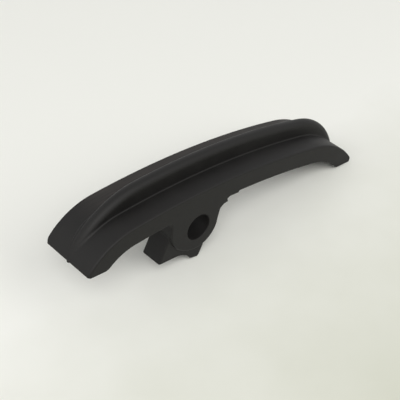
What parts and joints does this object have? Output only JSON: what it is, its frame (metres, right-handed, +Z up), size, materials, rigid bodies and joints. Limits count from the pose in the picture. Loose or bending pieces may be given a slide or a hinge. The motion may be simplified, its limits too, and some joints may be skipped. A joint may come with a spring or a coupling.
{
  "type": "timing chain guide",
  "caption": "Curved one-piece plastic shoe with a middle ridge that guides a timing chain, bent down at both ends, with a bored pivot lug under it.",
  "frame": {"origin": "bore axis, half way through the lug", "axes": "+Y along the bore from the lug's pad face to its back, +X along the shoe toward the lip end, +Z up, as the guide rests on a table on its tongue and lip"},
  "size_m": [0.1014, 0.018, 0.0306],
  "materials": {
    "moulding": "matte, as moulded, lightly worn"
  },
  "bodies": {
    "root": {"chain_guide": "moulding"}
  },
  "joints": []
}
